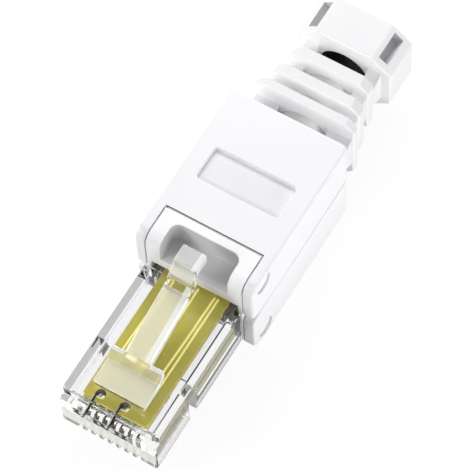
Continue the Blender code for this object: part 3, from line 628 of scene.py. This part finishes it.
def strip_group():
    """Sweeps a flat strip along every path of a curve."""
    group = add_group("strip_on_paths", "Width", "Height")
    given = group.nodes.new("NodeGroupInput")
    upright = group.nodes.new("GeometryNodeSetCurveNormal")
    upright.mode = "Z_UP"
    profile = group.nodes.new("GeometryNodeCurvePrimitiveQuadrilateral")
    sweep = group.nodes.new("GeometryNodeCurveToMesh")
    sweep.inputs["Fill Caps"].default_value = True
    group.links.new(given.outputs["Geometry"], upright.inputs["Curve"])
    group.links.new(given.outputs["Width"], profile.inputs["Width"])
    group.links.new(given.outputs["Height"], profile.inputs["Height"])
    group.links.new(upright.outputs["Curve"], sweep.inputs["Curve"])
    group.links.new(profile.outputs["Curve"], sweep.inputs["Profile Curve"])
    end_group(group, sweep.outputs["Mesh"], given)
    return group


def disc_group():
    """Sets a low round disc on every point of a mesh."""
    group = add_group("disc_on_points", "Radius", "Height")
    given = group.nodes.new("NodeGroupInput")
    disc = group.nodes.new("GeometryNodeMeshCylinder")
    disc.inputs["Vertices"].default_value = DISC_SIDES
    place = group.nodes.new("GeometryNodeInstanceOnPoints")
    group.links.new(given.outputs["Radius"], disc.inputs["Radius"])
    group.links.new(given.outputs["Height"], disc.inputs["Depth"])
    group.links.new(given.outputs["Geometry"], place.inputs["Points"])
    group.links.new(disc.outputs["Mesh"], place.inputs["Instance"])
    end_group(group, place.outputs["Instances"], given)
    return group


def copies_group(source):
    """Sets a copy of one object on every point of a mesh."""
    group = add_group("copies_on_points")
    given = group.nodes.new("NodeGroupInput")
    copied = group.nodes.new("GeometryNodeObjectInfo")
    copied.inputs["Object"].default_value = source
    place = group.nodes.new("GeometryNodeInstanceOnPoints")
    group.links.new(given.outputs["Geometry"], place.inputs["Points"])
    group.links.new(copied.outputs["Geometry"], place.inputs["Instance"])
    end_group(group, place.outputs["Instances"], given)
    return group


def apply_group(piece, group, material, **lengths):
    """Runs a group on a curve or on points, with its lengths in millimetres, and puts the plain mesh
    that it makes in their place."""
    modifier = piece.modifiers.new(group.name, "NODES")
    modifier.node_group = group
    for item in group.interface.items_tree:
        if item.in_out == "INPUT" and item.name in lengths:
            modifier[item.identifier] = lengths[item.name] * MM
        elif item.in_out == "INPUT" and item.name == "Material":
            modifier[item.identifier] = material
    graph = bpy.context.evaluated_depsgraph_get()
    mesh = bpy.data.meshes.new_from_object(piece.evaluated_get(graph))
    name = piece.name
    bpy.data.objects.remove(piece, do_unlink=True)
    return new_object(name, mesh)


# The small pieces, whose places and sizes are in millimetres: a place is across, station and level

def from_nose(across, station, level):
    return Vector((across * MM, station * MM - NOSE_TIP, level * MM))


def path_object(name, paths):
    curve = bpy.data.curves.new(name, "CURVE")
    curve.dimensions = "3D"
    for path in paths:
        spline = curve.splines.new("POLY")
        spline.points.add(len(path) - 1)
        for point, place in zip(spline.points, path):
            point.co = (*from_nose(*place), 1.0)
    return new_object(name, curve)


def point_object(name, places):
    mesh = bpy.data.meshes.new(name)
    mesh.from_pydata([from_nose(*place) for place in places], [], [])
    return new_object(name, mesh)


TRACE_PATHS = [
    [(-2.64, 17.6), (-2.66, 15.0), (-2.87, 7.8), (-2.77, 5.86)],
    [(-2.22, 17.6), (-2.28, 15.0), (-2.43, 8.3), (-2.28, 5.85)],
    [(-0.08, 17.8), (0.16, 14.3), (-0.30, 7.0), (-0.34, 5.8)],
    [(0.34, 17.8), (0.40, 14.3), (0.16, 7.0), (0.18, 5.75)],
    [(2.38, 17.8), (2.30, 12.0), (2.12, 6.6), (2.08, 5.7)],
    [(2.80, 17.8), (2.78, 12.0), (2.73, 5.7), (2.71, 3.1)],
]
TRACE_WIDTH = 0.19
TRACE_HEIGHT = 0.03
VIA_RADIUS = 0.13
VIA_HEIGHT = 0.05


def dress_traces(strips):
    """The board's yellow traces, with a via at each one's end and one more on the last."""
    level = BOARD_TOP / MM + TRACE_HEIGHT / 2
    paths = [[(across, station, level) for across, station in path] for path in TRACE_PATHS]
    traces = apply_group(
        path_object("board_traces", paths), strips, TRACE_YELLOW_PAINTED_GLOW, Width=TRACE_WIDTH, Height=TRACE_HEIGHT
    )
    put_on(traces, TRACE_YELLOW_PAINTED_GLOW, "chassis", "contact_gold")
    places = [path[-1] for path in paths] + [paths[-1][-2]]
    vias = apply_group(
        point_object("board_vias", places), disc_group(), TRACE_YELLOW_PAINTED_GLOW, Radius=VIA_RADIUS, Height=VIA_HEIGHT
    )
    put_on(vias, TRACE_YELLOW_PAINTED_GLOW, "chassis", "contact_gold")


FULL_TURN = (0.0, 360.0)


def ring_object(name, middle, radii, height, arc=FULL_TURN, steps=24):
    """A ring standing on a middle point, or the part of one between two angles in degrees."""
    inner, outer = (radius * MM for radius in radii)
    rise = Vector(UP) * height * MM
    whole = arc == FULL_TURN
    count = steps if whole else steps + 1
    work = bmesh.new()
    rows = []
    for number in range(count):
        angle = math.radians(arc[0] + (arc[1] - arc[0]) * number / steps)
        out = Vector((math.cos(angle), math.sin(angle), 0.0))
        near, far = middle + out * inner, middle + out * outer
        rows.append([work.verts.new(place) for place in (near, far, far + rise, near + rise)])
    for number in range(count if whole else count - 1):
        here = rows[number]
        after = rows[(number + 1) % count]
        for side in range(4):
            ahead = (side + 1) % 4
            work.faces.new((here[side], after[side], after[ahead], here[ahead]))
    if not whole:
        work.faces.new(rows[0])
        work.faces.new(list(reversed(rows[-1])))
    bmesh.ops.recalc_face_normals(work, faces=work.faces)
    return object_from(work, name)


HOLE_PLACES = [(-2.14, 2.35), (0.79, 2.35)]
HOLE_SHADE_RADII = (0.1, 0.58)
HOLE_SHADE_ARC = (10.0, 235.0)
HOLE_HIGHLIGHT_RADII = (0.35, 0.47)
HOLE_HIGHLIGHT_ARC = (240.0, 365.0)
HOLE_RING_HEIGHT = 0.03


def dress_holes():
    """The shaded part and the bright rim of each plated hole near the board's front: painted shade in dark
    brown, and a painted highlight in glowing yellow.
    """
    for number, (across, station) in enumerate(HOLE_PLACES, start=1):
        middle = from_nose(across, station, BOARD_TOP / MM)
        dark = ring_object(
            f"hole_shade_{number}", middle, HOLE_SHADE_RADII, HOLE_RING_HEIGHT, HOLE_SHADE_ARC
        )
        put_on(dark, HOLE_PAINTED_SHADE, "chassis", "contact_gold")
        light = ring_object(f"hole_rim_{number}", middle, HOLE_HIGHLIGHT_RADII, HOLE_RING_HEIGHT, HOLE_HIGHLIGHT_ARC)
        put_on(light, TRACE_YELLOW_PAINTED_GLOW, "chassis", "contact_gold")


FIN_PATHS = [
    [(-2.50, 1.95, 7.62), (-2.48, 1.2, 7.62), (-2.58, 0.8, 7.11), (-2.56, 0.1, 7.11), (-3.24, 0.1, 4.8)],
    [(0.42, 1.95, 7.62), (0.44, 1.2, 7.62), (0.33, 0.8, 7.11), (0.36, 0.1, 7.11), (-0.26, 0.1, 4.98)],
]
FIN_WIDTH = 0.16
FIN_HEIGHT = 0.14
FIN_EDGE_OFFSET = 0.17
FIN_EDGE_WIDTH = 0.13
FIN_EDGE_HEIGHT = 0.12


def dress_fins(strips):
    """The two dark fins with a light edge that run from the plated holes to the front: black strips as
    painted shade where the clear fins look dark, with a painted highlight beside them.
    """
    for number, path in enumerate(FIN_PATHS, start=1):
        dark = apply_group(
            path_object(f"dark_fin_{number}", [path]), strips, FIN_PAINTED_SHADE, Width=FIN_WIDTH, Height=FIN_HEIGHT
        )
        put_on(dark, FIN_PAINTED_SHADE, "chassis", "contact_gold")
        beside = [(across - FIN_EDGE_OFFSET, station, level) for across, station, level in path]
        light = apply_group(
            path_object(f"light_fin_{number}", [beside]), strips, FIN_PAINTED_HIGHLIGHT,
            Width=FIN_EDGE_WIDTH, Height=FIN_EDGE_HEIGHT,
        )
        put_on(light, FIN_PAINTED_HIGHLIGHT, "chassis", "contact_gold")


MARK_STATION = 0.03
MARK_PLACES = [(-3.78, 6.0), (-1.50, 5.98), (-0.66, 5.98), (1.12, 5.88), (1.96, 5.88)]
MARK_HALF = 0.4
MARK_WAIST = 0.13
MARK_RISE = 0.48
MARK_DEPTH = 0.06
MARK_BAR = [(-4.35, 0.17, 5.98), (2.5, 0.17, 5.88)]
MARK_BAR_WIDTH = 0.1
MARK_BAR_HEIGHT = 1.1


def waisted_plate(name):
    """A small upright plate with a narrow waist, facing the front."""
    left = [(-MARK_HALF, MARK_RISE), (-MARK_WAIST, 0.0), (-MARK_HALF, -MARK_RISE)]
    outline = left + [(-across, up) for across, up in reversed(left)]
    work = bmesh.new()
    front = [work.verts.new(Vector((across, 0.0, up)) * MM) for across, up in outline]
    rear = [work.verts.new(Vector((across, MARK_DEPTH, up)) * MM) for across, up in outline]
    for row in (front, rear):
        work.faces.new((row[0], row[1], row[4], row[5]))
        work.faces.new((row[1], row[2], row[3], row[4]))
    for number, vert in enumerate(front):
        after = (number + 1) % len(front)
        work.faces.new((vert, front[after], rear[after], rear[number]))
    bmesh.ops.recalc_face_normals(work, faces=work.faces)
    return object_from(work, name)


def dress_marks(strips):
    """The small black plates in the nose's front wall, painted shade where the wall looks dark, with the
    white bar behind them as a painted highlight.
    """
    bar = apply_group(
        path_object("front_mark_bar", [MARK_BAR]), strips, FIN_PAINTED_HIGHLIGHT,
        Width=MARK_BAR_WIDTH, Height=MARK_BAR_HEIGHT,
    )
    put_on(bar, FIN_PAINTED_HIGHLIGHT, "chassis", "contact_gold")
    plate = waisted_plate("front_mark")
    places = [(across, MARK_STATION, level) for across, level in MARK_PLACES]
    marks = apply_group(point_object("front_marks", places), copies_group(plate), FIN_PAINTED_SHADE)
    bpy.data.objects.remove(plate, do_unlink=True)
    put_on(marks, FIN_PAINTED_SHADE, "chassis", "contact_gold")


SLEEVE_RADII = (2.76, 2.88)
SLEEVE_STEPS = 40
GUIDE_PLACE = (37.55, 46.3)
BORE_SHADE_PLACE = (49.05, 53.75)


def bore_sleeve(name, start, end):
    """A thin round sleeve in the boot's bore."""
    sleeve = ring_object(name, Vector(), SLEEVE_RADII, end - start, steps=SLEEVE_STEPS)
    turn = Matrix.Rotation(math.radians(-90.0), 4, "X")
    sleeve.data.transform(Matrix.Translation(from_nose(0.0, start, AXIS_LEVEL / MM)) @ turn)
    shade(sleeve)
    return sleeve


def dress_bore():
    """The grey guide tube seen between the ribs, and a near-black sleeve in the collar's bore, painted shade
    where the bore looks black.
    """
    put_on(bore_sleeve("guide_tube", *GUIDE_PLACE), GUIDE_GREY, "chassis", "inner_plastic")
    put_on(bore_sleeve("collar_bore_lining", *BORE_SHADE_PLACE), BORE_PAINTED_SHADE, "chassis", "boot_plastic")


SEAM_SHADE_STRIP_PATH = [(-5.75, 22.06, 13.06), (5.75, 22.06, 13.06)]
SEAM_WIDTH = 0.36
SEAM_HEIGHT = 0.12


def dress_seam(strips):
    """A grey strip with a small glow as the floor of the thin groove between the frame and the upper shell:
    painted shade for the groove.
    """
    floor = apply_group(
        path_object("seam_floor", [SEAM_SHADE_STRIP_PATH]), strips, SEAM_PAINTED_SHADE, Width=SEAM_WIDTH, Height=SEAM_HEIGHT
    )
    put_on(floor, SEAM_PAINTED_SHADE, "chassis", "frame_plastic")


def solid_finish(node):
    """The finish of a solid that the scene shows as the frame has it."""
    if node.startswith("contact_"):
        return CONTACT_GOLD
    if node.startswith("wire_terminal_"):
        return TERMINAL_TIN
    return BOARD_OLIVE_PAINTED_GLOW if node == "circuit_board" else INNER_WHITE


def finish_solids():
    for node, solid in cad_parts.items():
        solid.data.materials.clear()
        solid.data.materials.append(solid_finish(node))


def dress_plug():
    dress_shells()
    dress_frame()
    dress_boot()
    dress_nose()
    dress_latch()
    strips = strip_group()
    dress_traces(strips)
    dress_holes()
    dress_fins(strips)
    dress_marks(strips)
    dress_bore()
    dress_seam(strips)
    finish_solids()


# Table and light

TABLE_HALF = 0.6
TABLE_LEVEL = -0.02 * MM
TABLE_COLOUR = (0.93, 0.93, 0.935, 1.0)
TABLE_WHITE = 1.03              # how white the table's own light is
TABLE_WHITE_SHARE = 0.9         # the rest shows the plug's shadow
WORLD_STRENGTH = 0.36

# Each softbox's name, place, target, side and power
SOFTBOXES = [
    ("rear_key", (-0.19, 0.39, 0.41), (0.0, 0.0, 0.0), 0.24, 2.02),
    ("right_fill", (0.357, -0.03, 0.06), (0.0, 0.0, 0.008), 0.12, 0.6),
    ("front_fill", (-0.24, -0.28, 0.22), (0.0, 0.0, 0.008), 0.16, 0.8),
]


def table_material():
    """Pale paper, which looks nearly white to the camera, in reflections and through clear plastic."""
    material, tree, shader = new_material("white_table")
    shader.inputs["Base Color"].default_value = TABLE_COLOUR
    shader.inputs["Roughness"].default_value = 0.9
    shader.inputs["Specular IOR Level"].default_value = 0.1
    paper = noise_on_object(tree, scale=900.0, detail=3.0)
    add_bump(tree, shader, paper, strength=0.05, distance=0.02 * MM)
    rays = add_node(tree, "ShaderNodeLightPath")
    seen = rays.outputs["Is Camera Ray"]
    for kind in ("Is Glossy Ray", "Is Transmission Ray"):
        either = add_node(tree, "ShaderNodeMath", operation="ADD", use_clamp=True)
        tree.links.new(seen, either.inputs[0])
        tree.links.new(rays.outputs[kind], either.inputs[1])
        seen = either.outputs["Value"]
    share = add_node(tree, "ShaderNodeMath", operation="MULTIPLY")
    share.inputs[1].default_value = TABLE_WHITE_SHARE
    white = add_node(tree, "ShaderNodeEmission")
    white.inputs["Color"].default_value = (*WHITE_LIGHT, 1.0)
    white.inputs["Strength"].default_value = TABLE_WHITE
    chosen = add_node(tree, "ShaderNodeMixShader")
    tree.links.new(seen, share.inputs[0])
    tree.links.new(share.outputs["Value"], chosen.inputs["Fac"])
    tree.links.new(shader.outputs["BSDF"], chosen.inputs[1])
    tree.links.new(white.outputs["Emission"], chosen.inputs[2])
    tree.links.new(chosen.outputs["Shader"], tree.nodes["Material Output"].inputs["Surface"])
    return material


def add_table():
    work = bmesh.new()
    corners = ((-1, -1), (1, -1), (1, 1), (-1, 1))
    work.faces.new([work.verts.new((x * TABLE_HALF, y * TABLE_HALF, TABLE_LEVEL)) for x, y in corners])
    table = object_from(work, "white_table")
    table.data.materials.append(table_material())


def add_world():
    world = bpy.data.worlds.new("studio")
    bpy.context.scene.world = world
    world.use_nodes = True
    background = world.node_tree.nodes["Background"]
    background.inputs["Color"].default_value = (*WHITE_LIGHT, 1.0)
    background.inputs["Strength"].default_value = WORLD_STRENGTH


def add_softbox(name, place, target, side, power):
    data = bpy.data.lights.new(name, "AREA")
    data.shape = "SQUARE"
    data.size = side
    data.energy = power
    lamp = new_object(name, data)
    lamp.location = place
    lamp.rotation_mode = "QUATERNION"
    lamp.rotation_quaternion = (Vector(target) - Vector(place)).to_track_quat("-Z", "Y")


add_camera()
dress_plug()
add_table()
add_world()
for softbox in SOFTBOXES:
    add_softbox(*softbox)
bpy.context.scene.view_settings.view_transform = "Standard"
